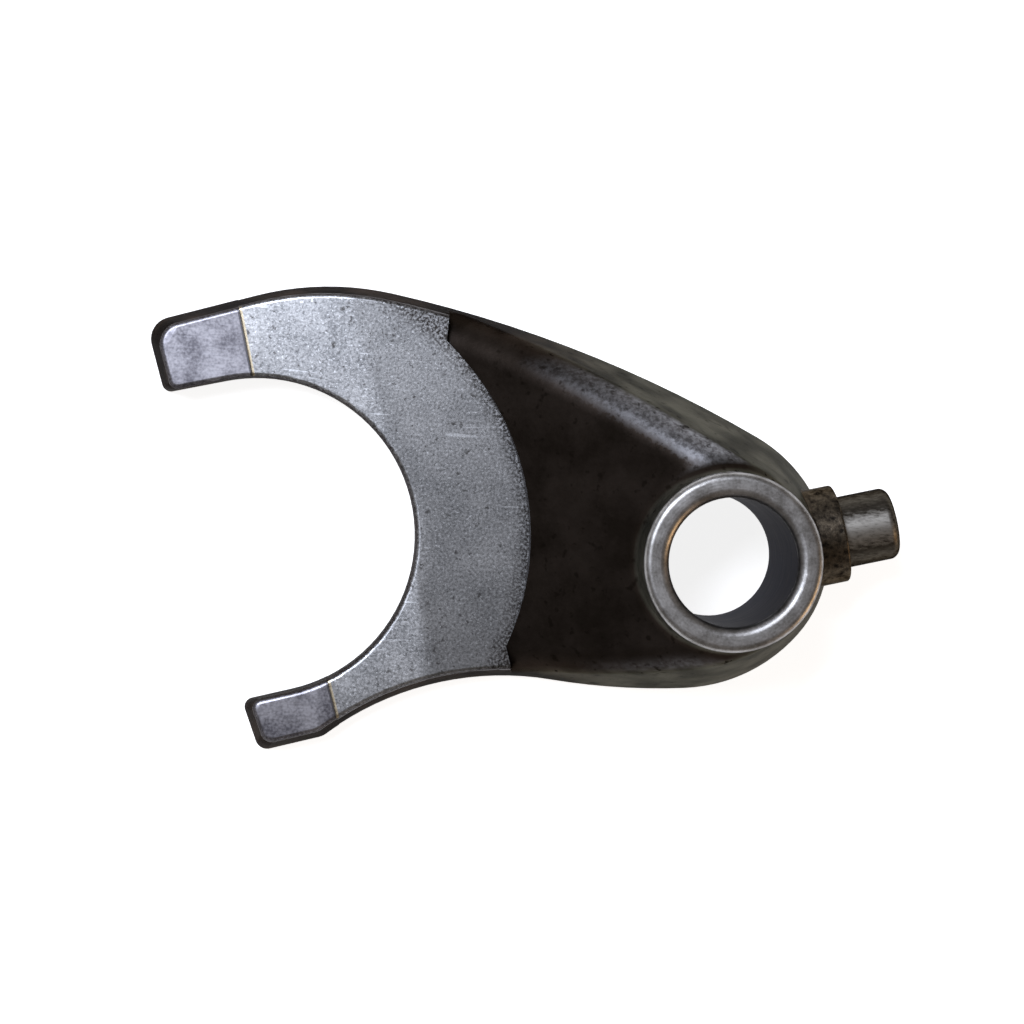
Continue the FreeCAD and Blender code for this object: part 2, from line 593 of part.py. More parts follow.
def make_web():
    """The wedge that rises from the crescent to the ring, with soft shoulders."""
    body, prism = outline_prism("web", "sizes.claw_height / 2", WEB_TOP)
    side = side_sketch(body, "ramp_side", "sizes.ramp_turn")
    draw_ramp(side)
    ramp = body.newObject("PartDesign::Pocket", "ramp")
    ramp.Profile = side
    ramp.Type = "ThroughAll"
    ramp.Midplane = True
    doc.recompute()
    top = web_top()
    bends = [name for name in edges_where(ramp.Shape, lambda point: abs(point.z - top) < TOUCH)
             if type(ramp.Shape.getElement(name).Curve) is Part.Line]
    crest = round_edges(body, "crest", ramp, bends, "sizes.ramp_crest")
    draft = drafted(body, "web_draft", crest, upright_faces(crest.Shape, -size("ramp_start")))
    rims = []
    for number, edge in enumerate(draft.Shape.Edges, start=1):
        faces = draft.Shape.ancestorsOfType(edge, Part.Face)
        walls = [face for face in faces if type(face.Surface) is Part.Cone]
        tops = [face for face in faces if type(face.Surface) is not Part.Cone]
        if walls and tops and tops[0].BoundBox.ZMax > size("claw_height"):
            rims.append(f"Edge{number}")
    round_edges(body, "shoulders", draft, rims, "sizes.shoulder")
    return body


def round_sketch(body, name, radius, back="0", lift="0"):
    """A flat sketch with one circle, centred a given way back from the bore, towards the opening."""
    sketch = flat_sketch(body, name, lift)
    middle = Vector(-float(sketch.evalExpression(back)), 0, 0)
    circle = sketch.addGeometry(Part.Circle(middle, Vector(0, 0, 1), size(radius)), False)
    if middle.Length > 0:
        sketch.addConstraint(Sketcher.Constraint("PointOnObject", circle, CENTRE, -1))
        bind(sketch, back, "DistanceX", circle, CENTRE, *ORIGIN)
    else:
        sketch.addConstraint(Sketcher.Constraint("Coincident", circle, CENTRE, *ORIGIN))
    bind(sketch, f"sizes.{radius}", "Radius", circle)
    return sketch


def add_stub(body, name, reach):
    """A round stub square to the bore, turned from half its profile, which starts in the ring's wall."""
    sketch = side_sketch(body, name + "_half", "sizes.pin_turn", lift="sizes.pin_height")
    root = (size("bore_radius") + size("ring_radius")) / 2
    end = float(sketch.evalExpression(reach))
    radius = size(name + "_radius")
    corners = [Vector(root, 0, 0), Vector(end, 0, 0), Vector(end, radius, 0),
               Vector(root, radius, 0)]
    axis, face, wall, back = polygon(sketch, corners, (0, 2), (1, 3))
    sketch.addConstraint(Sketcher.Constraint("PointOnObject", axis, START, -1))
    bind(sketch, "(sizes.bore_radius + sizes.ring_radius) / 2", "DistanceX", *ORIGIN, axis, START)
    bind(sketch, reach, "DistanceX", *ORIGIN, axis, END)
    bind(sketch, f"sizes.{name}_radius", "DistanceY", *ORIGIN, wall, START)
    stub = body.newObject("PartDesign::Revolution", name)
    stub.Profile = sketch
    stub.ReferenceAxis = (sketch, ["H_Axis"])
    stub.Angle = 360
    doc.recompute()
    return stub


# The forged blank: claws and crescent, the rising web, and the ground claw tips.
NODE = "shift_fork"
fork = claw_blank(NODE, "sizes.back_relief", "sizes.crescent_height")[0]
slope_prong(fork, "upper", True)
sloped = slope_prong(fork, "lower", False)
finish_claws(fork, sloped, NODE)
past = flat_sketch(fork, "past_crescent", "sizes.claw_height / 2")
draw_past_crescent(past)
pocket_of(fork, "crescent_end", past, "sizes.boss_length")
web = make_web()
lands = make_lands()
join = fork.newObject("PartDesign::Boolean", "join")
join.Type = "Fuse"
join.addObjects([web, lands])
doc.recompute()

# The boss: its ground back face, and the turned ring with a hollow blend at its foot.
back_circle = round_sketch(fork, "back_circle", "back_face_radius")
pad_of(fork, "back_face", back_circle, "sizes.claw_height / 2")
ring = pad_of(fork, "ring", round_sketch(fork, "ring_circle", "ring_radius"), "sizes.boss_length")
foot = wall_edges(ring.Shape, size("ring_radius"), size("crescent_height"), size("boss_length") - 2 * TOUCH)
round_edges(fork, "ring_foot", ring, foot, "sizes.ring_blend")

# The turned clearance round the gear, above the crescent.
clearance = round_sketch(fork, "clearance_circle", "clearance_radius", "sizes.centre_distance",
                         "sizes.crescent_height")
pocket_of(fork, "clearance", clearance, "sizes.boss_length")

# The guide pin on its collar.
add_stub(fork, "collar", "sizes.boss_foot_radius")
solid = add_stub(fork, "pin", "sizes.boss_foot_radius + sizes.pin_length")
collar_face = size("boss_foot_radius")
pin_end = collar_face + size("pin_length")
foot = stub_edges(solid.Shape, size("collar_radius"), 0, collar_face - 2 * TOUCH)
solid = round_edges(fork, "collar_foot", solid, foot, "sizes.collar_blend")
rim = stub_edges(solid.Shape, size("collar_radius"), collar_face, collar_face)
solid = round_edges(fork, "collar_rim", solid, rim, "sizes.collar_edge")
rim = stub_edges(solid.Shape, size("pin_radius"), pin_end, pin_end)
solid = round_edges(fork, "pin_rim", solid, rim, "sizes.pin_edge")

# The ring's edge, and the shaft bore, rounded at its mouth in the ring and bevelled at the back.
rim = wall_edges(solid.Shape, size("ring_radius"), size("boss_length"), size("boss_length"))
round_edges(fork, "ring_rim", solid, rim, "sizes.ring_edge")
bore = pocket_of(fork, "bore", round_sketch(fork, "bore_circle", "bore_radius"), "sizes.boss_length")
mouth = wall_edges(bore.Shape, size("bore_radius"), size("boss_length"), size("boss_length"))
solid = round_edges(fork, "ring_mouth", bore, mouth, "sizes.ring_mouth")
bevel = fork.newObject("PartDesign::Chamfer", "back_mouth")
bevel.Base = (solid, wall_edges(solid.Shape, size("bore_radius"), 0, 0))
bevel.setExpression("Size", "sizes.back_bevel")
fork.Label = NODE
doc.recompute()

for feature in doc.Objects:
    if "Invalid" in feature.State or "Error" in feature.State:
        raise RuntimeError(f"{feature.Name} did not build")
if fork.Shape.isNull() or not fork.Shape.isValid() or len(fork.Shape.Solids) != 1:
    raise RuntimeError("the fork is not one sound solid")

os.makedirs("parts", exist_ok=True)
fork.Shape.exportStep(f"parts/{fork.Label}.step")
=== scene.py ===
# %% [markdown]
# A gearbox shift fork, forged in steel and then machined. Its crescent straddles a sliding gear, its boss
# slides on a shaft, and its guide pin runs in the groove of the selector drum. The form is finished before
# Blender starts. It could be modelled again here, but its sizes would drift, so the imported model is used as
# it is. What is left is what a hand would notice: where the forging kept its dark skin, where tumbling and
# grinding made it bright, and how each surface was cut.

# %% The frame
import math
import bmesh
import bpy
from mathutils import Matrix, Vector


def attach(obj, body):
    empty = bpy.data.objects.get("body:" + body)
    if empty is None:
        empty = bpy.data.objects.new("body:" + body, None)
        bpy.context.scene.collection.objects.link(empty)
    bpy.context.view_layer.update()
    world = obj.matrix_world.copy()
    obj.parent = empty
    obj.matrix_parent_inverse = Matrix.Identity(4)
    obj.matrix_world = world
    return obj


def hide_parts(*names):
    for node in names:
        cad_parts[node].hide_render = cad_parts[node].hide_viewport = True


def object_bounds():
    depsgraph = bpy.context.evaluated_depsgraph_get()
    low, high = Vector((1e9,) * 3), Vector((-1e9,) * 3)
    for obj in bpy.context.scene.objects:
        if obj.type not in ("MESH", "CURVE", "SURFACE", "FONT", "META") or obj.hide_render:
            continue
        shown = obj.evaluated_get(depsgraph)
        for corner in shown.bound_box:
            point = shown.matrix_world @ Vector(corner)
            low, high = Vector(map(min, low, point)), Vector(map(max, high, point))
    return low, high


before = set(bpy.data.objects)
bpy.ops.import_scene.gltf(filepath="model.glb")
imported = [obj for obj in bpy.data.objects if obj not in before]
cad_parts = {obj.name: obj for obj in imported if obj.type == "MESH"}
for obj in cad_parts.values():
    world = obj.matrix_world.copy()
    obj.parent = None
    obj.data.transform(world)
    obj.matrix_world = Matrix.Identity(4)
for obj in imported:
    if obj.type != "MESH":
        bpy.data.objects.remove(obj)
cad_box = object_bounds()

MM = 0.001
for corner in cad_box:
    print("CAD box corner, mm:", [round(value / MM, 2) for value in corner])

# %% [markdown]
# The frame starts at the shaft bore, on the back face. +Z runs along the bore and -X points to the opening
# between the claws. The camera stands where the photographer's did. It could be placed by eye, but a round
# bore tells more: its two mouths, circles of known size, fix the distance and the tilt. So the camera hangs
# almost 300 mm above the crescent with a long lens, and looks into the bore a little from the left. The
# lens follows from the focal length in pixels of a 1024 pixel image.

# %% Camera
PICTURE = 1024
FOCAL_PIXELS = 3000
SENSOR = 36.0
EYE = Vector((-36.918, 9.898, 294.196))
AIM = Vector((-19.537, 3.349, 0.0))
ROLL = 2.465


def heading(degrees):
    """A flat direction, turned from +X towards +Y."""
    return Vector((math.cos(math.radians(degrees)), math.sin(math.radians(degrees))))


lens = bpy.data.cameras.new("photo_camera")
lens.sensor_width = SENSOR
lens.lens = SENSOR * FOCAL_PIXELS / PICTURE
camera = bpy.data.objects.new("photo_camera", lens)
bpy.context.scene.collection.objects.link(camera)
backward = (EYE - AIM).normalized()
across = Vector((*heading(ROLL), 0.0))
across = (across - backward * across.dot(backward)).normalized()
turn = Matrix((across, backward.cross(across), backward)).transposed()
camera.matrix_world = Matrix.Translation(EYE * MM) @ turn.to_4x4()
bpy.context.scene.camera = camera
print("lens, mm:", round(lens.lens, 2))

# %% [markdown]
# Colours are given as sRGB hex values, and Blender's shaders want them linear. Each could be turned by hand,
# but one function does it alike everywhere. Nodes could be placed in the editor. Here one small function adds
# a node with its settings and links, so that a material reads from top to bottom.

# %% Helpers for materials


def linear(code):
    """The linear colour of an sRGB hex value."""
    channels = [int(code[place:place + 2], 16) / 255 for place in (0, 2, 4)]
    return [c / 12.92 if c <= 0.04045 else ((c + 0.055) / 1.055) ** 2.4 for c in channels] + [1.0]


def add(tree, kind, settings=None, links=None):
    """Adds a shader node, sets its properties or unlinked inputs, and links the others."""
    node = tree.nodes.new("ShaderNode" + kind)
    for name, value in (settings or {}).items():
        if isinstance(name, str) and hasattr(node, name):
            setattr(node, name, value)
        else:
            node.inputs[name].default_value = value
    for name, source in (links or {}).items():
        tree.links.new(source, node.inputs[name])
    return node


def material(name):
    """A new material with its nodes cleared, and its node tree."""
    made = bpy.data.materials.new(name)
    made.use_nodes = True
    made.node_tree.nodes.clear()
    return made, made.node_tree


print("a mid grey, linear:", [round(channel, 3) for channel in linear("808080")])

# %% [markdown]
# The floor is plain white paper. It could be lit until it is white, but then the steel would glare too.
# So it adds the light that the lamp leaves short there, only to the camera and in reflections, and the
# fork's soft shadow stays on it. It lies a hair below the ground back, so that the two never flicker.

# %% Floor
FLOOR_SIZE = 6.0
FLOOR_DROP = 0.05
PAPER = "e6e6e6"
PAPER_ROUGH = 0.9
PAPER_GLOW = 0.85

bpy.ops.mesh.primitive_plane_add(size=FLOOR_SIZE)
floor = bpy.context.object
floor.name = "floor"
floor.location.z = -FLOOR_DROP * MM
paper, tree = material("white_paper")
rays = add(tree, "LightPath").outputs
seen = rays["Is Camera Ray"]
for kind in ("Is Glossy Ray", "Is Transmission Ray"):
    seen = add(tree, "Math", {"operation": "MAXIMUM"}, {0: seen, 1: rays[kind]}).outputs[0]
glow = add(tree, "Math", {"operation": "MULTIPLY", 1: PAPER_GLOW}, {0: seen}).outputs[0]
sheet = add(tree, "BsdfPrincipled",
            {"Base Color": linear(PAPER), "Roughness": PAPER_ROUGH, "Emission Color": linear("ffffff")},
            {"Emission Strength": glow})
add(tree, "OutputMaterial", links={"Surface": sheet.outputs[0]})
floor.data.materials.append(paper)
print("floor, m:", list(floor.dimensions))

# %% [markdown]
# Bare steel shows what it mirrors. A bright white room would be the simple choice, but it would wash out the
# dark web. So the room is dim, one soft box at the upper left lights the slopes of the claws, and a small
# warm lamp low at the right draws the tan line on the edges that face it.

# %% World and lamps
ROOM = "6a6560"
ROOM_STRENGTH = 1.2

world = bpy.data.worlds.new("studio")
bpy.context.scene.world = world
world.use_nodes = True
world.node_tree.nodes.clear()
room = add(world.node_tree, "Background", {"Color": linear(ROOM), "Strength": ROOM_STRENGTH})
add(world.node_tree, "OutputWorld", links={"Surface": room.outputs[0]})


def soft_lamp(name, place, size, power, colour):
    """A square soft box, in metres and watts, that faces the middle of the fork."""
    light = bpy.data.lights.new(name, "AREA")
    light.size = size
    light.energy = power
    light.color = linear(colour)[:3]
    lamp = bpy.data.objects.new(name, light)
    bpy.context.scene.collection.objects.link(lamp)
    lamp.location = place
    middle = (Vector(cad_box[0]) + Vector(cad_box[1])) / 2
    lamp.rotation_mode = "QUATERNION"
    lamp.rotation_quaternion = (middle - lamp.location).to_track_quat("-Z", "Y")
    print(name, "stands off, m:", round((middle - lamp.location).length, 3))


soft_lamp("key_softbox", Vector((-0.19, 0.19, 0.46)), size=0.20, power=2.4, colour="ecf2ff")
soft_lamp("warm_side_lamp", Vector((0.50, -0.20, 0.14)), size=0.16, power=0.6, colour="ffcf96")
bpy.context.scene.view_settings.view_transform = "Standard"

# %% [markdown]
# The fork is one forging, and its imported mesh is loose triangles. Subdividing them would melt the machined
# edges. So a copy is merged, its real edges are kept sharp by their angle, and the roundings between them
# shade smoothly.

# %% The fork's mesh
NODE = "shift_fork"
MERGE = 0.000002
SHARP_ANGLE = 24.0

shape = bmesh.new()
shape.from_mesh(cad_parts[NODE].data)
bmesh.ops.remove_doubles(shape, verts=shape.verts, dist=MERGE)
for face in shape.faces:
    face.smooth = True
for edge in shape.edges:
    if len(edge.link_faces) == 2:
        edge.smooth = edge.calc_face_angle() < math.radians(SHARP_ANGLE)
print("faces:", len(shape.faces), "open edges:", sum(len(edge.link_faces) != 2 for edge in shape.edges))

# %% [markdown]
# The finishes change where the machinist stopped: at the steps of the claws, along the arc that clears the
# gear, round the ring and on the pin. These places could be painted by hand. They are named instead, in
# millimetres, because the same numbers then serve the faces and the patterns. Upper is 1 and lower is -1.

# %% Places on the fork
BORE_RADIUS = 6.0
BOSS_LENGTH = 20.0
RING_RADIUS = 8.35
BOSS_RADIUS = 11.95
OPENING = Vector((-44.35, 0.0))
CLEARANCE_RADIUS = 26.3
CRESCENT_HEIGHT = 5.2
# The way that a claw's ground step faces, and its distance from the opening's centre.
STEPS = {1: (13.6, 2.62), -1: (16.4, 3.27)}
# Where an end of the crescent leaves the clearance arc, and the way that it runs on from there.
CRESCENT_ENDS = {1: (48.3, 87.0), -1: (21.3, 74.0)}
TOUCH = 0.05


def past_step(flat, side):
    """Whether a flat point lies on the tip's side of the step on the upper or the lower claw."""
    degrees, reach = STEPS[side]
    return flat.y * side > 0 and (flat - OPENING).dot(heading(degrees)) < reach + TOUCH


def past_crescent(flat, side):
    """Whether a flat point lies past the crescent, beyond its machined arc and its upper or lower end."""
    place, turn = CRESCENT_ENDS[side]
    foot = OPENING + heading(side * place) * CLEARANCE_RADIUS
    across = heading(side * (turn - 90))
    beyond_arc = (flat - OPENING).length > CLEARANCE_RADIUS + TOUCH
    return flat.y * side > 0 and beyond_arc and (flat - foot).dot(across) > -TOUCH


print("clearance arc to the bore's axis, mm:", round(-OPENING.x - CLEARANCE_RADIUS, 2))

# %% [markdown]
# Each face gets its finish from where it is and which way it looks, as on the real part: what the forging
# die left, what the tumbling barrel and the grinder reached, and what was turned. Walls keep the die's skin.
# The mesh could be cut into pieces instead, but one mesh with several materials keeps its shading whole.

# %% Which finish goes where
FINISHES = ["forge_skin", "tumbled_face", "ground_land", "turned_ring", "reamed_bore", "ground_back",
            "guide_pin", "trimmed_collar"]
LOOKS_UP = 0.35
UPRIGHT = 0.1
TURNED_DEPTH = 1.4
BACK_FACE_RADIUS = 9.2
PIN_TURN = 13.9
PIN_RADIUS = 3.45
PIN_HEIGHT = 8.0
COLLAR_RADIUS = 4.7
COLLAR_BLEND = 0.25
FACET_SAG = 0.2


def finish_of(face):
    """The finish of one face of the fork."""
    centre = face.calc_center_median() / MM
    flat = Vector((centre.x, centre.y))
    rise = face.normal.z
    along_pin = flat.dot(heading(PIN_TURN))
    from_pin = math.hypot(flat.dot(heading(PIN_TURN + 90)), centre.z - PIN_HEIGHT)
    if along_pin > BOSS_RADIUS + TOUCH and from_pin < PIN_RADIUS + TOUCH:
        return "guide_pin"
    clear_of_ring = flat.length > RING_RADIUS + 2 * TOUCH
    if clear_of_ring and along_pin > 0 and from_pin < COLLAR_RADIUS + COLLAR_BLEND:
        return "trimmed_collar"
    if flat.length < BORE_RADIUS + TOUCH and abs(rise) < UPRIGHT:
        return "reamed_bore"
    on_ring = flat.length < RING_RADIUS + TOUCH and centre.z > BOSS_LENGTH - TURNED_DEPTH
    if on_ring and rise > UPRIGHT:
        return "turned_ring"
    machined_back = flat.length < BACK_FACE_RADIUS or flat.x < -BOSS_RADIUS
    if rise < -LOOKS_UP and centre.z < TOUCH and machined_back:
        return "ground_back"
    above_crescent = centre.z > CRESCENT_HEIGHT + TOUCH
    from_arc = abs((flat - OPENING).length - CLEARANCE_RADIUS)
    if from_arc < FACET_SAG and abs(rise) < UPRIGHT and above_crescent:
        return "ground_land"
    side = 1 if flat.y > 0 else -1
    if flat.x > -BOSS_RADIUS or above_crescent or past_crescent(flat, side) or rise < LOOKS_UP:
        return "forge_skin"
    return "ground_land" if past_step(flat, side) else "tumbled_face"


for face in shape.faces:
    face.material_index = FINISHES.index(finish_of(face))
for number, name in enumerate(FINISHES):
    print(name, "faces:", sum(face.material_index == number for face in shape.faces))

# %% [markdown]
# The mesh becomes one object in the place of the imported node. Smooth shading alone would bend the light on
# the flat faces beside each rounding. A modifier weights the normals by area instead, so they stay flat.

# %% The fork's object
FULL_WEIGHT = 100

mesh = bpy.data.meshes.new("forged_fork")
shape.to_mesh(mesh)
shape.free()
fork = bpy.data.objects.new("forged_fork", mesh)
bpy.context.scene.collection.objects.link(fork)
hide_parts(NODE)
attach(fork, "root")
weighted = fork.modifiers.new("flat_faces_stay_flat", "WEIGHTED_NORMAL")
weighted.keep_sharp = True
weighted.weight = FULL_WEIGHT
print("fork's corners:", len(mesh.vertices))

# %% [markdown]
# Every steel ends in the same way: a metal shader with its colour, its roughness and a fine relief. Pictures
# of real steel could be wrapped on, but they have seams and one fixed grain. Noise patterns are used here,
# each sized by the real mark in millimetres. The grain of tumbling is under 0.1 mm, too fine to show, so it
# is drawn about three times as coarse. Oxide and oil glance less than bare steel, and for them an edge tint
# dims the grazing reflection.

# %% The end of every steel
GRAIN = 0.26
CLOUD = 4.0
EDGE_DARK = "2b2627"

steels = {}


def finish_steel(tree, colour, rough, relief, height, edge_tint="ffffff"):
    """A metal shader with a relief of some millimetres; the edge tint dims its glancing reflection."""
    bump = add(tree, "Bump", {"Distance": height * MM}, {"Height": relief})
    steel = add(tree, "BsdfPrincipled", {"Metallic": 1.0, "Specular Tint": linear(edge_tint)},
                {"Base Color": colour, "Roughness": rough, "Normal": bump.outputs[0]})
    add(tree, "OutputMaterial", links={"Surface": steel.outputs[0]})


print("grain, mm:", GRAIN, "clouds, mm:", CLOUD)

# %% [markdown]
# The web and the side walls were left as the die made them: a hard oxide skin, browner with oil round the
# claws and greenish grey down the boss. Its colour is also painted by the way it faces: almost black where it
# looks up, as painted shade for the dim room that the web mirrors, and lighter on the steep walls, as a
# painted reflection of the pale floor. A material for each stretch of wall would leave a hard seam between
# them. So one skin blends three mottled colours, by the way that the surface faces and by its place along
# the fork.

# %% Colours of the forging skin, with painted shade and reflection
WEB_SKIN_IN_SHADE = ("241f1b", "322c28")
CLAW_SKIN_AND_SHEEN = ("2a2522", "443d38")
BOSS_SKIN_AND_SHEEN = ("45443e", "646259")
CLAW_SKIN_END = -22.0
BOSS_SKIN_START = -8.0


def skin_colour_and_sheen(tree, x, up, mottle):
    """The skin's colour from the claws to the boss, with painted shade on the web and painted reflection on
    the walls.
    """
    web, claw, boss = [add(tree, "Mix", {"data_type": "RGBA", 6: linear(dark), 7: linear(bright)},
                           {0: mottle}).outputs[2] for dark, bright in (WEB_SKIN_IN_SHADE, CLAW_SKIN_AND_SHEEN, BOSS_SKIN_AND_SHEEN)]
    by_boss = add(tree, "MapRange", {"From Min": CLAW_SKIN_END * MM, "From Max": BOSS_SKIN_START * MM},
                  {"Value": x}).outputs[0]
    wall = add(tree, "Mix", {"data_type": "RGBA"}, {0: by_boss, 6: claw, 7: boss}).outputs[2]
    # Painted by facing: shade where the surface looks up, a reflection of the floor on the steep walls.
    steep_sheen = add(tree, "MapRange", {"From Min": 0.6, "From Max": 0.3}, {"Value": up}).outputs[0]
    return add(tree, "Mix", {"data_type": "RGBA"}, {0: steep_sheen, 6: web, 7: wall}).outputs[2]


print("the skin changes colour over, mm:", BOSS_SKIN_START - CLAW_SKIN_END)

# %% [markdown]
# Handling rubbed the skin through to grey steel along the web's rounded shoulders, and the same grey is also
# the painted highlight of the soft box there. It is strongest near the ring and on the upper shoulder, which
# faces the lamp; the lower one, turned away, gets about a third of it. The worn line could be drawn as a
# curve. It is found instead by the way the surface turns: off the web's slope but not yet a wall, high up,
# and clear of the ring. Its rim is ragged with the grain.

# %% Worn shoulders and their painted highlight
WEB_TURN = 12.0
WEB_SLOPE = 33.0
WORN_SHEEN_RAGGED = 0.16
WORN_SHEEN_FROM = 8.0
WORN_SHEEN_TO = 18.6
RING_CLEAR = (0.7, 2.0)
MIDDLE_BLEND = 2.0

flat_facing = heading(180 + WEB_TURN) * math.sin(math.radians(WEB_SLOPE))
WEB_FACING = (*flat_facing, math.cos(math.radians(WEB_SLOPE)))


def worn_sheen_shoulders(tree, place, normal, grain):
    """A mask of the web's shoulders where the skin is rubbed through, and of their painted highlight."""
    xyz = add(tree, "SeparateXYZ", links={0: place}).outputs
    up = add(tree, "SeparateXYZ", links={0: normal}).outputs["Z"]
    likeness = add(tree, "VectorMath", {"operation": "DOT_PRODUCT", 1: WEB_FACING},
                   {0: normal}).outputs["Value"]
    ragged = add(tree, "Math", {"operation": "MULTIPLY_ADD", 1: WORN_SHEEN_RAGGED, 2: -WORN_SHEEN_RAGGED / 2},
                 {0: grain}).outputs[0]
    turned = add(tree, "Math", {"operation": "ADD"}, {0: likeness, 1: ragged}).outputs[0]
    flat_place = add(tree, "Mapping", {"Scale": (1, 1, 0)}, {"Vector": place}).outputs[0]
    from_axis = add(tree, "VectorMath", {"operation": "LENGTH"}, {0: flat_place}).outputs["Value"]
    near_ring, far_ring = [(RING_RADIUS + clear) * MM for clear in RING_CLEAR]
    off_web = {"From Min": 0.97, "From Max": 0.82}
    off_wall = {"From Min": 0.3, "From Max": 0.55}
    raised = {"From Min": WORN_SHEEN_FROM * MM, "From Max": WORN_SHEEN_TO * MM}
    off_ring = {"From Min": near_ring, "From Max": far_ring}
    speckled = {"From Min": 0.40, "From Max": 0.62, "To Min": 0.35}
    # The lower shoulder faces away from the soft box, so its painted highlight is cut to 0.3.
    upper_lit = {"From Min": -MIDDLE_BLEND * MM, "From Max": MIDDLE_BLEND * MM, "To Min": 0.3}
    worn_sheen = add(tree, "MapRange", off_web, {"Value": turned}).outputs[0]
    for limits, value in ((off_wall, up), (raised, xyz["Z"]), (off_ring, from_axis), (speckled, grain),
                          (upper_lit, xyz["Y"])):
        mask = add(tree, "MapRange", limits, {"Value": value}).outputs[0]
        worn_sheen = add(tree, "Math", {"operation": "MULTIPLY"}, {0: worn_sheen, 1: mask}).outputs[0]
    return worn_sheen


print("the web faces:", [round(share, 3) for share in WEB_FACING])

# %% [markdown]
# The skin is hot forged carbon steel under its oxide: dull, with a soft sheen, and finely pitted. Paint would
# look as dark but as even as plastic. So it stays a metal shader with a dark tint, a coarse low relief from
# shot blasting, about 0.5 mm, and black pits of about 1 mm.

# %% Forging skin
SKIN_GRAIN = 0.5
SKIN_PIT = 0.9
SKIN_RELIEF = 0.02
WORN_SHEEN_STEEL = "a0a1a6"
SKIN_PIT_COLOUR = "1c1814"


def forge_skin():
    """Hot forged steel with its oxide skin: dull, near black, fine pitted, worn grey and painted bright on
    its shoulders.
    """
    made, tree = material("oxide_skinned_forging")
    spot = add(tree, "TexCoord")
    place = spot.outputs["Object"]
    normal = spot.outputs["Normal"]
    x = add(tree, "SeparateXYZ", links={0: place}).outputs["X"]
    up = add(tree, "SeparateXYZ", links={0: normal}).outputs["Z"]
    grain = add(tree, "TexNoise", {"Scale": 1 / (SKIN_GRAIN * MM), "Detail": 4.0, "Roughness": 0.65},
                {"Vector": place}).outputs[0]
    cloud = add(tree, "TexNoise", {"Scale": 1 / (CLOUD * MM), "Detail": 4.0}, {"Vector": place}).outputs[0]
    mottle = add(tree, "MapRange", {"From Min": 0.38, "From Max": 0.66}, {"Value": cloud}).outputs[0]
    skin = skin_colour_and_sheen(tree, x, up, mottle)
    # Worn grey together with a painted highlight on the shoulders.
    worn_sheen = worn_sheen_shoulders(tree, place, normal, grain)
    colour = add(tree, "Mix", {"data_type": "RGBA", 7: linear(WORN_SHEEN_STEEL)}, {0: worn_sheen, 6: skin}).outputs[2]
    pits = add(tree, "TexNoise", {"Scale": 1 / (SKIN_PIT * MM), "Detail": 2.0}, {"Vector": place}).outputs[0]
    pitted = add(tree, "MapRange", {"From Min": 0.62, "From Max": 0.70, "To Max": 0.7},
                 {"Value": pits}).outputs[0]
    colour = add(tree, "Mix", {"data_type": "RGBA", 7: linear(SKIN_PIT_COLOUR)},
                 {0: pitted, 6: colour}).outputs[2]
    rough = add(tree, "MapRange", {"To Min": 0.42, "To Max": 0.58}, {"Value": grain}).outputs[0]
    finish_steel(tree, colour, rough, grain, SKIN_RELIEF, edge_tint="989898")
    return made


steels["forge_skin"] = forge_skin()
print("made", steels["forge_skin"].name)

# %% [markdown]
# Some marks belong to one claw, or lie along its step or its crease. A painted mask could place them, but it
# would need a flat unwrapping. These helpers measure from the opening's centre in the fork's own frame, so a
# mark stays on its line from every side.

# %% Masks by place
HALF_BLEND = 4.0


def from_centre(tree, place, degrees):
    """How far the surface lies from the opening's centre, measured in one flat direction."""
    moved = add(tree, "Mapping", {"Location": (-OPENING.x * MM, 0, 0)}, {"Vector": place}).outputs[0]
    return add(tree, "VectorMath", {"operation": "DOT_PRODUCT", 1: (*heading(degrees), 0)},
               {0: moved}).outputs["Value"]


def claw_mask(tree, place, side):
    """A mask of the upper or the lower half of the fork, blended over the middle of the crescent."""
    y = add(tree, "SeparateXYZ", links={0: place}).outputs["Y"]
    return add(tree, "MapRange", {"From Min": -side * HALF_BLEND * MM, "From Max": side * HALF_BLEND * MM},
               {"Value": y}).outputs[0]


def beside_step(tree, place, side, near, far):
    """A mask of a strip along a claw's step, between two distances in millimetres, plus to the crescent."""
    degrees, reach = STEPS[side]
    across = from_centre(tree, place, degrees)
    strip = claw_mask(tree, place, side)
    for operation, edge in (("GREATER_THAN", reach + near), ("LESS_THAN", reach + far)):
        within = add(tree, "Math", {"operation": operation, 1: edge * MM}, {0: across}).outputs[0]
        strip = add(tree, "Math", {"operation": "MULTIPLY"}, {0: strip, 1: within}).outputs[0]
    return strip


print("the claws' masks blend over, mm:", 2 * HALF_BLEND)

# %% [markdown]
# The tumbled face took a knock here and there in the barrel and in use. Pits could be modelled, but at half a
# millimetre they only show as dark spots. A fine noise gives the small ones, and the three large dents are
# set where they are on the real fork.

# %% Pits and dents
PIT = 0.55
DENTS = [((-37.74, 18.79), 0.30), ((-34.36, -13.94), 0.35), ((-33.97, -11.71), 0.22)]
DENT_BLUR = 0.5
DENT_RIM = (0.3, 0.15)


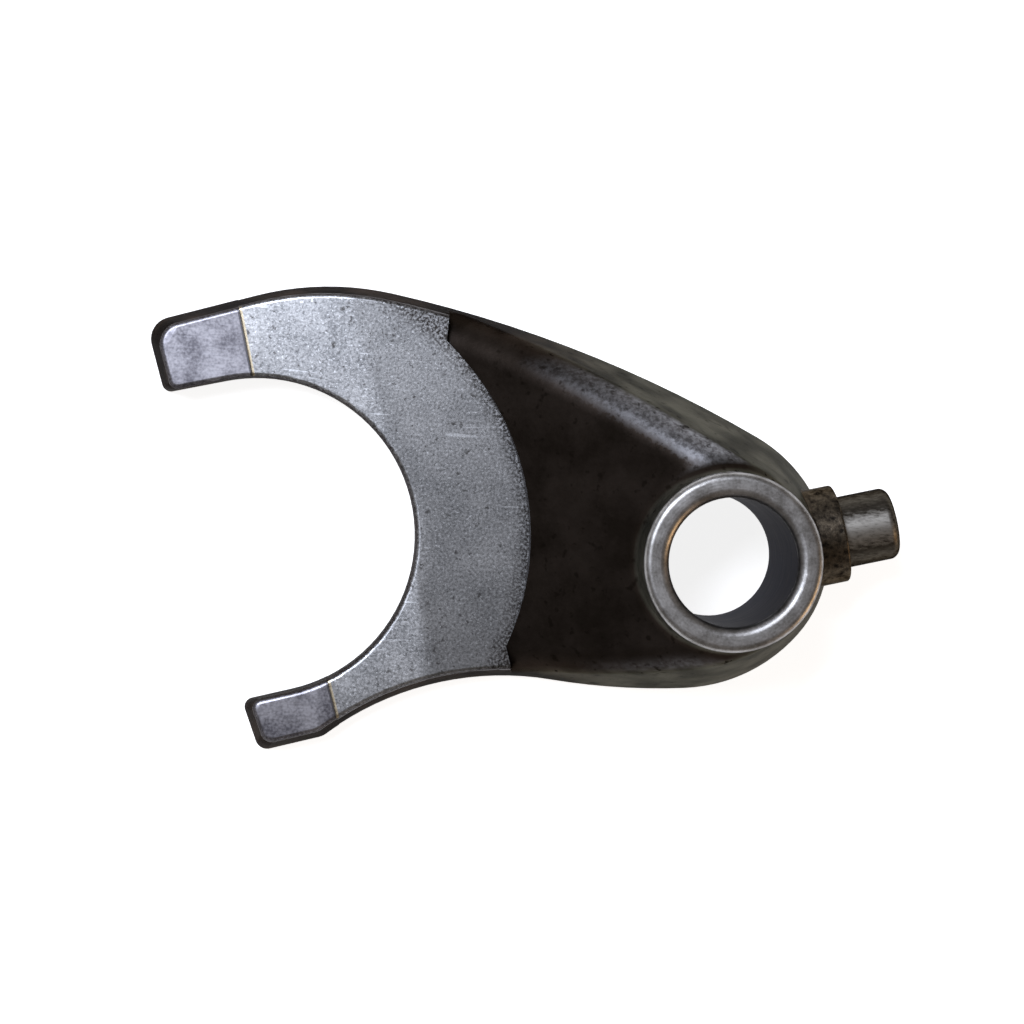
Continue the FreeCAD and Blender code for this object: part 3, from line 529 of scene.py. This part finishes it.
def pits_and_dents(tree, place, grain):
    """A mask of the dark pits and of the three large dents, with ragged rims."""
    pits = add(tree, "TexNoise", {"Scale": 1 / (PIT * MM), "Detail": 3.0}, {"Vector": place}).outputs[0]
    pitted = add(tree, "MapRange", {"From Min": 0.63, "From Max": 0.71, "To Max": 0.7},
                 {"Value": pits}).outputs[0]
    for mark, radius in DENTS:
        outer, inner = [(radius + rim) * MM for rim in DENT_RIM]
        away = add(tree, "VectorMath", {"operation": "DISTANCE", 1: Vector((*mark, CRESCENT_HEIGHT)) * MM},
                   {0: place}).outputs["Value"]
        blurred = add(tree, "Math", {"operation": "MULTIPLY_ADD", 1: DENT_BLUR * MM},
                      {0: grain, 2: away}).outputs[0]
        dent = add(tree, "MapRange", {"From Min": outer, "From Max": inner, "To Max": 0.8},
                   {"Value": blurred}).outputs[0]
        pitted = add(tree, "Math", {"operation": "MAXIMUM"}, {0: pitted, 1: dent}).outputs[0]
    return pitted


print("large dents:", len(DENTS))

# %% [markdown]
# Bright marks catch the eye before the pits do: a few long scratches of clean steel, and the glints of
# single facets, which are painted highlights in the same bright grey. A noise stretched along one direction
# breaks into short lines, which reads as scratches, and a fine noise cut off near its peaks gives the
# glints. A scratch is drawn about 0.4 mm wide, several times its real width, so that it shows.

# %% Scratches and glints
SCRATCH_TURN = 34.0
SCRATCH = 0.45
SCRATCH_STRETCH = 0.06
GLINT = 0.22
SCRATCH_AND_GLINT_STEEL = "e2e5ea"


def bright_marks(tree, place, colour):
    """Lays scratches of clean steel and painted glints over a colour."""
    lengthwise = add(tree, "Mapping", {"Rotation": (0, 0, math.radians(SCRATCH_TURN)),
                                       "Scale": (SCRATCH_STRETCH, 1, 1)}, {"Vector": place}).outputs[0]
    lines = add(tree, "TexNoise", {"Scale": 1 / (SCRATCH * MM), "Detail": 1.0},
                {"Vector": lengthwise}).outputs[0]
    # Painted highlights: the glints of single facets.
    painted_glints = add(tree, "TexNoise", {"Scale": 1 / (GLINT * MM), "Detail": 2.0}, {"Vector": place}).outputs[0]
    scratched = {"From Min": 0.70, "From Max": 0.74, "To Max": 0.6}
    glinting = {"From Min": 0.62, "From Max": 0.72, "To Max": 0.8}
    for limits, value in ((scratched, lines), (glinting, painted_glints)):
        mask = add(tree, "MapRange", limits, {"Value": value}).outputs[0]
        colour = add(tree, "Mix", {"data_type": "RGBA", 7: linear(SCRATCH_AND_GLINT_STEEL)},
                     {0: mask, 6: colour}).outputs[2]
    return colour


print("scratches run at, degrees:", SCRATCH_TURN)

# %% [markdown]
# Three more bands of colour are painted on the face, all of them light and shade. Past the crease of each
# prong the middle of the crescent turns less towards the soft box than the prongs, so it gets a grey painted
# shade, deeper towards the lower prong, where the light falls off. Along the clearance arc a dark speckled
# band is painted shade at the foot of the wall. And along each step a thin line the colour of bone is a
# painted highlight of the warm lamp. All three could be strips of mesh, but a strip would lie proud of the
# face, so they are bands of colour by distance.

# %% Painted shade past the creases and along the arc, painted highlight at the steps
CREASES = {1: (20.8, 15.3), -1: (6.5, 15.28)}
CREASE_BLEND = 0.9
# The grey of the painted shade past the creases, and where it is lightest and deepest.
CRESCENT_SHADE = "4f4f50"
CRESCENT_SHADE_TOP = 20.0
CRESCENT_SHADE_BOTTOM = -12.0
ARC_SHADE = 0.8
# The painted shade along the foot of the arc's wall.
ARC_SHADE_COLOUR = "3a3735"
# The painted highlight of the warm lamp along the steps.
STEP_GLINT = 0.28
STEP_GLINT_COLOUR = "c9bca2"


def shade_past_creases(tree, place, colour):
    """Lays a grey painted shade between the two creases over a colour, deeper towards the lower prong."""
    y = add(tree, "SeparateXYZ", links={0: place}).outputs["Y"]
    # Painted shade past the creases, deeper towards the bottom, where the light falls off.
    darker_below = add(tree, "MapRange", {"From Min": CRESCENT_SHADE_TOP * MM, "From Max": CRESCENT_SHADE_BOTTOM * MM,
                                   "To Min": 0.16, "To Max": 0.46}, {"Value": y}).outputs[0]
    for side, (degrees, reach) in CREASES.items():
        shade_mask = add(tree, "MapRange", {"From Min": (reach - CREASE_BLEND) * MM,
                                      "From Max": (reach + CREASE_BLEND) * MM},
                   {"Value": from_centre(tree, place, degrees)}).outputs[0]
        for mask in (claw_mask(tree, place, side), darker_below):
            shade_mask = add(tree, "Math", {"operation": "MULTIPLY"}, {0: shade_mask, 1: mask}).outputs[0]
        colour = add(tree, "Mix", {"data_type": "RGBA", 7: linear(CRESCENT_SHADE)}, {0: shade_mask, 6: colour}).outputs[2]
    return colour


def arc_shade_and_step_glint(tree, place, grain, colour):
    """Lays the painted shade inside the clearance arc and the painted highlight at both steps over a colour.
    """
    flat_place = add(tree, "Mapping", {"Location": (-OPENING.x * MM, 0, 0), "Scale": (1, 1, 0)},
                     {"Vector": place}).outputs[0]
    from_opening = add(tree, "VectorMath", {"operation": "LENGTH"}, {0: flat_place}).outputs["Value"]
    # A painted shade at the foot of the arc's wall, speckled by the grain.
    arc_shade = add(tree, "MapRange", {"From Min": (CLEARANCE_RADIUS - 2 * ARC_SHADE) * MM,
                                  "From Max": (CLEARANCE_RADIUS - ARC_SHADE / 5) * MM},
               {"Value": from_opening}).outputs[0]
    speckled = add(tree, "MapRange", {"From Min": 0.60, "From Max": 0.42}, {"Value": grain}).outputs[0]
    arc_shade = add(tree, "Math", {"operation": "MULTIPLY"}, {0: arc_shade, 1: speckled}).outputs[0]
    colour = add(tree, "Mix", {"data_type": "RGBA", 7: linear(ARC_SHADE_COLOUR)}, {0: arc_shade, 6: colour}).outputs[2]
    # A painted highlight of the warm lamp along each step.
    for side in STEPS:
        step_glint = beside_step(tree, place, side, 0, STEP_GLINT)
        colour = add(tree, "Mix", {"data_type": "RGBA", 7: linear(STEP_GLINT_COLOUR)},
                     {0: step_glint, 6: colour}).outputs[2]
    return colour


print("arc band, mm:", 2 * ARC_SHADE, "burr, mm:", STEP_GLINT)

# %% [markdown]
# The crescent and both prongs were tumbled bright. Drop forged steel does not come out of the barrel smooth:
# its face is a cold light grey with a sandy grain and a broken gloss, and it falls off to the dark skin round
# the edges. A plain rough metal would look cast. So the colour follows the grain, the gloss follows it too,
# and the surface's own turn at the roundings brings the dark edge.

# %% Tumbled face
SAND = ("747679", "bfc0c3")
TUMBLED_PIT_COLOUR = "35312e"
TUMBLED_RELIEF = 0.009
TUMBLED_RAGGED = 0.3


def tumbled_face():
    """Drop forged steel, tumbled: a bright sandy face, pitted, with the skin left round its edges."""
    made, tree = material("tumbled_forged_steel")
    spot = add(tree, "TexCoord")
    place = spot.outputs["Object"]
    up = add(tree, "SeparateXYZ", links={0: spot.outputs["Normal"]}).outputs["Z"]
    grain = add(tree, "TexNoise", {"Scale": 1 / (GRAIN * MM), "Detail": 4.0, "Roughness": 0.7},
                {"Vector": place}).outputs[0]
    cloud = add(tree, "TexNoise", {"Scale": 1 / (CLOUD * MM), "Detail": 4.0}, {"Vector": place}).outputs[0]
    tone = add(tree, "Math", {"operation": "MULTIPLY_ADD", 1: 0.4}, {0: cloud, 2: grain}).outputs[0]
    spread = add(tree, "MapRange", {"From Min": 0.50, "From Max": 0.90}, {"Value": tone}).outputs[0]
    colour = add(tree, "Mix", {"data_type": "RGBA", 6: linear(SAND[0]), 7: linear(SAND[1])},
                 {0: spread}).outputs[2]
    colour = bright_marks(tree, place, colour)
    pitted = pits_and_dents(tree, place, grain)
    colour = add(tree, "Mix", {"data_type": "RGBA", 7: linear(TUMBLED_PIT_COLOUR)},
                 {0: pitted, 6: colour}).outputs[2]
    colour = shade_past_creases(tree, place, colour)
    colour = arc_shade_and_step_glint(tree, place, grain, colour)
    ragged = add(tree, "Math", {"operation": "MULTIPLY_ADD", 1: TUMBLED_RAGGED, 2: -TUMBLED_RAGGED / 2},
                 {0: grain}).outputs[0]
    edge = add(tree, "Math", {"operation": "ADD"}, {0: up, 1: ragged}).outputs[0]
    bare = add(tree, "MapRange", {"From Min": 0.66, "From Max": 0.88}, {"Value": edge}).outputs[0]
    colour = add(tree, "Mix", {"data_type": "RGBA", 6: linear(EDGE_DARK)}, {0: bare, 7: colour}).outputs[2]
    rough = add(tree, "MapRange", {"To Min": 0.26, "To Max": 0.46}, {"Value": grain}).outputs[0]
    finish_steel(tree, colour, rough, grain, TUMBLED_RELIEF)
    return made


steels["tumbled_face"] = tumbled_face()
print("made", steels["tumbled_face"].name)

# %% [markdown]
# The claw tips were ground to the width of the gear's groove, and the back where the fork lies on the
# machine's table. Surface grinding leaves a satin face of even height with fine parallel lines, on the claws
# a little purple next to the tumbled steel. A brushed look could come from an anisotropic gloss, but at
# this distance the lines read better as a relief: a noise stretched along the wheel's path, drawn 0.25 mm
# wide, coarser than the real lines, over a faint mottle.

# %% Ground steel
GRIND_LINE = 0.25
GRIND_STRETCH = 0.08
GROUND_CLOUD = 2.5
GROUND_RELIEF = 0.006
GROUND_RAGGED = 0.2
STEP_SHADE = 0.16
STEP_SHADE_COLOUR = "5c5b60"


def ground_steel(name, dark, bright, turn):
    """Surface ground steel: a satin of fine parallel lines over a faint mottle."""
    made, tree = material(name)
    spot = add(tree, "TexCoord")
    place = spot.outputs["Object"]
    up = add(tree, "SeparateXYZ", links={0: spot.outputs["Normal"]}).outputs["Z"]
    path = add(tree, "Mapping", {"Rotation": (0, 0, math.radians(turn)), "Scale": (GRIND_STRETCH, 1, 1)},
               {"Vector": place}).outputs[0]
    lines = add(tree, "TexNoise", {"Scale": 1 / (GRIND_LINE * MM), "Detail": 3.0},
                {"Vector": path}).outputs[0]
    grain = add(tree, "TexNoise", {"Scale": 1 / (GRAIN * MM), "Detail": 3.0}, {"Vector": place}).outputs[0]
    cloud = add(tree, "TexNoise", {"Scale": 1 / (GROUND_CLOUD * MM), "Detail": 4.0},
                {"Vector": place}).outputs[0]
    tone = add(tree, "Math", {"operation": "MULTIPLY_ADD", 1: 0.6}, {0: grain, 2: cloud}).outputs[0]
    spread = add(tree, "MapRange", {"From Min": 0.60, "From Max": 1.0}, {"Value": tone}).outputs[0]
    colour = add(tree, "Mix", {"data_type": "RGBA", 6: linear(dark), 7: linear(bright)},
                 {0: spread}).outputs[2]
    for side in STEPS:
        shade = beside_step(tree, place, side, -STEP_SHADE, 0)
        colour = add(tree, "Mix", {"data_type": "RGBA", 7: linear(STEP_SHADE_COLOUR)},
                     {0: shade, 6: colour}).outputs[2]
    level = add(tree, "Math", {"operation": "ABSOLUTE"}, {0: up}).outputs[0]
    ragged = add(tree, "Math", {"operation": "MULTIPLY_ADD", 1: GROUND_RAGGED, 2: -GROUND_RAGGED / 2},
                 {0: grain}).outputs[0]
    edge = add(tree, "Math", {"operation": "ADD"}, {0: level, 1: ragged}).outputs[0]
    bare = add(tree, "MapRange", {"From Min": 0.66, "From Max": 0.84}, {"Value": edge}).outputs[0]
    colour = add(tree, "Mix", {"data_type": "RGBA", 6: linear(EDGE_DARK)}, {0: bare, 7: colour}).outputs[2]
    rough = add(tree, "MapRange", {"To Min": 0.32, "To Max": 0.46}, {"Value": grain}).outputs[0]
    finish_steel(tree, colour, rough, lines, GROUND_RELIEF)
    return made


steels["ground_land"] = ground_steel("ground_land_steel", "66656c", "a6a5ac", turn=20.0)
steels["ground_back"] = ground_steel("ground_back_steel", "808184", "a4a5a8", turn=-30.0)
print("made", steels["ground_land"].name, "and", steels["ground_back"].name)

# %% [markdown]
# The ring was faced and its edge rolled over on the lathe. Its face is a mid grey, mottled by handling, with
# circles that are hardly seen. They could be a stretched noise like the grinding lines, but the lathe's are
# even, so they are a sine of the distance from the axis, 0.28 mm apart, coarser than the real feed.

# %% Turned ring
TURNED_LINE = 0.28
TURNED_CLOUD = 1.8
TURNED_RELIEF = 0.008
TURNED_GREYS = ("7f7d7b", "acabab")


def turned_ring():
    """Face turned steel: even circles round the bore, mottled by handling."""
    made, tree = material("turned_steel")
    place = add(tree, "TexCoord").outputs["Object"]
    flat_place = add(tree, "Mapping", {"Scale": (1, 1, 0)}, {"Vector": place}).outputs[0]
    radius = add(tree, "VectorMath", {"operation": "LENGTH"}, {0: flat_place}).outputs["Value"]
    turns = add(tree, "Math", {"operation": "MULTIPLY", 1: math.tau / (TURNED_LINE * MM)},
                {0: radius}).outputs[0]
    circles = add(tree, "Math", {"operation": "SINE"}, {0: turns}).outputs[0]
    grain = add(tree, "TexNoise", {"Scale": 1 / (GRAIN * MM), "Detail": 4.0, "Roughness": 0.65},
                {"Vector": place}).outputs[0]
    cloud = add(tree, "TexNoise", {"Scale": 1 / (TURNED_CLOUD * MM), "Detail": 4.0},
                {"Vector": place}).outputs[0]
    tone = add(tree, "Math", {"operation": "MULTIPLY_ADD", 1: 0.6}, {0: grain, 2: cloud}).outputs[0]
    spread = add(tree, "MapRange", {"From Min": 0.62, "From Max": 0.98}, {"Value": tone}).outputs[0]
    colour = add(tree, "Mix", {"data_type": "RGBA", 6: linear(TURNED_GREYS[0]), 7: linear(TURNED_GREYS[1])},
                 {0: spread}).outputs[2]
    rough = add(tree, "MapRange", {"To Min": 0.34, "To Max": 0.48}, {"Value": grain}).outputs[0]
    relief = add(tree, "Math", {"operation": "MULTIPLY_ADD", 1: 0.08}, {0: circles, 2: grain}).outputs[0]
    finish_steel(tree, colour, rough, relief, TURNED_RELIEF, edge_tint="8c8c90")
    return made


steels["turned_ring"] = turned_ring()
print("made", steels["turned_ring"].name)

# %% [markdown]
# The bore was reamed and has run on its shaft in oil. Oil fills the reamer's marks, so the wall is a dark
# satin with faint rings, and its dark grey is partly painted shade inside the bore. A clear coat could stand
# for the oil, but a film this thin shows no gloss of its own. It only darkens the steel and its glancing
# light. The rings are a noise squeezed along the bore.

# %% Reamed bore
REAMED_LINE = 0.5
REAMED_STRETCH = 0.15
REAMED_RELIEF = 0.004
REAMED_GREYS_IN_SHADE = ("303134", "484a4e")


def reamed_bore():
    """Reamed steel under a film of oil: a dark satin with faint rings, partly painted shade."""
    made, tree = material("reamed_oily_steel")
    place = add(tree, "TexCoord").outputs["Object"]
    rings = add(tree, "Mapping", {"Scale": (REAMED_STRETCH, REAMED_STRETCH, 1)},
                {"Vector": place}).outputs[0]
    lines = add(tree, "TexNoise", {"Scale": 1 / (REAMED_LINE * MM), "Detail": 3.0},
                {"Vector": rings}).outputs[0]
    spread = add(tree, "MapRange", {"From Min": 0.35, "From Max": 0.65}, {"Value": lines}).outputs[0]
    # The dark greys are partly oil and partly painted shade inside the bore.
    colour = add(tree, "Mix", {"data_type": "RGBA", 6: linear(REAMED_GREYS_IN_SHADE[0]), 7: linear(REAMED_GREYS_IN_SHADE[1])},
                 {0: spread}).outputs[2]
    rough = add(tree, "MapRange", {"To Min": 0.42, "To Max": 0.52}, {"Value": spread}).outputs[0]
    finish_steel(tree, colour, rough, lines, REAMED_RELIEF, edge_tint="9c9b9e")
    return made


steels["reamed_bore"] = reamed_bore()
print("made", steels["reamed_bore"].name)

# %% [markdown]
# The pin was turned and has slid in its groove. That left streaks along it over a brown tinge. Along its
# crest a lighter band is a painted highlight of the soft box. It follows the form, so the bright part is
# found by how straight up the surface looks, and the streaks make its rim ragged.

# %% Guide pin
STREAK_STRETCH = 0.35
CREST_RAGGED = 0.3
PIN_RELIEF = 0.005
PIN_BROWNS = ("3c3833", "57534c")
PIN_CREST_HIGHLIGHT = "9a9792"


def guide_pin():
    """Turned steel, rubbed in use: brown grey, with streaks along the pin and a painted highlight on its
    crest.
    """
    made, tree = material("rubbed_turned_steel")
    spot = add(tree, "TexCoord")
    place = spot.outputs["Object"]
    along = add(tree, "Mapping", {"Rotation": (0, 0, math.radians(-PIN_TURN)),
                                  "Scale": (STREAK_STRETCH, 1, 1)}, {"Vector": place}).outputs[0]
    streaks = add(tree, "TexNoise", {"Scale": 1 / (GRAIN * MM), "Detail": 4.0, "Roughness": 0.65},
                  {"Vector": along}).outputs[0]
    spread = add(tree, "MapRange", {"From Min": 0.35, "From Max": 0.65}, {"Value": streaks}).outputs[0]
    brown = add(tree, "Mix", {"data_type": "RGBA", 6: linear(PIN_BROWNS[0]), 7: linear(PIN_BROWNS[1])},
                {0: spread}).outputs[2]
    up = add(tree, "SeparateXYZ", links={0: spot.outputs["Normal"]}).outputs["Z"]
    ragged = add(tree, "Math", {"operation": "MULTIPLY_ADD", 1: CREST_RAGGED, 2: -CREST_RAGGED / 2},
                 {0: streaks}).outputs[0]
    crest = add(tree, "Math", {"operation": "ADD"}, {0: up, 1: ragged}).outputs[0]
    # A painted highlight of the soft box along the pin's crest.
    crest_highlight = add(tree, "MapRange", {"From Min": 0.86, "From Max": 1.0}, {"Value": crest}).outputs[0]
    colour = add(tree, "Mix", {"data_type": "RGBA", 7: linear(PIN_CREST_HIGHLIGHT)},
                 {0: crest_highlight, 6: brown}).outputs[2]
    rough = add(tree, "MapRange", {"To Min": 0.36, "To Max": 0.50}, {"Value": streaks}).outputs[0]
    finish_steel(tree, colour, rough, streaks, PIN_RELIEF, edge_tint="787878")
    return made


steels["guide_pin"] = guide_pin()
print("made", steels["guide_pin"].name)

# %% [markdown]
# The collar under the pin was only trimmed: a torn, dark face with brighter specks. Tearing is rough at every
# size, which one noise with many octaves gives, drawn from 0.7 mm down. A displaced mesh would tear the
# outline too, but at 0.06 mm that can't be seen, so a relief is enough.

# %% Trimmed collar
TORN = 0.7
TORN_RELIEF = 0.06
TORN_BROWNS = ("211e1b", "5f564a")


def trimmed_collar():
    """Trimmed forging flash: torn dark steel with brighter specks."""
    made, tree = material("trimmed_flash")
    place = add(tree, "TexCoord").outputs["Object"]
    torn = add(tree, "TexNoise", {"Scale": 1 / (TORN * MM), "Detail": 5.0, "Roughness": 0.7},
               {"Vector": place}).outputs[0]
    spread = add(tree, "MapRange", {"From Min": 0.35, "From Max": 0.68}, {"Value": torn}).outputs[0]
    colour = add(tree, "Mix", {"data_type": "RGBA", 6: linear(TORN_BROWNS[0]), 7: linear(TORN_BROWNS[1])},
                 {0: spread}).outputs[2]
    rough = add(tree, "MapRange", {"To Min": 0.35, "To Max": 0.55}, {"Value": torn}).outputs[0]
    finish_steel(tree, colour, rough, torn, TORN_RELIEF, edge_tint="a0a0a0")
    return made


steels["trimmed_collar"] = trimmed_collar()
print("made", steels["trimmed_collar"].name)

# %% [markdown]
# The faces already carry a number for their finish, so the steels only have to be hung on the fork in the
# same order. Naming each slot by hand would do too, but the one list can't fall out of step.

# %% Finishes on the fork
for name in FINISHES:
    fork.data.materials.append(steels[name])
print("materials:", [steel.name for steel in fork.data.materials])
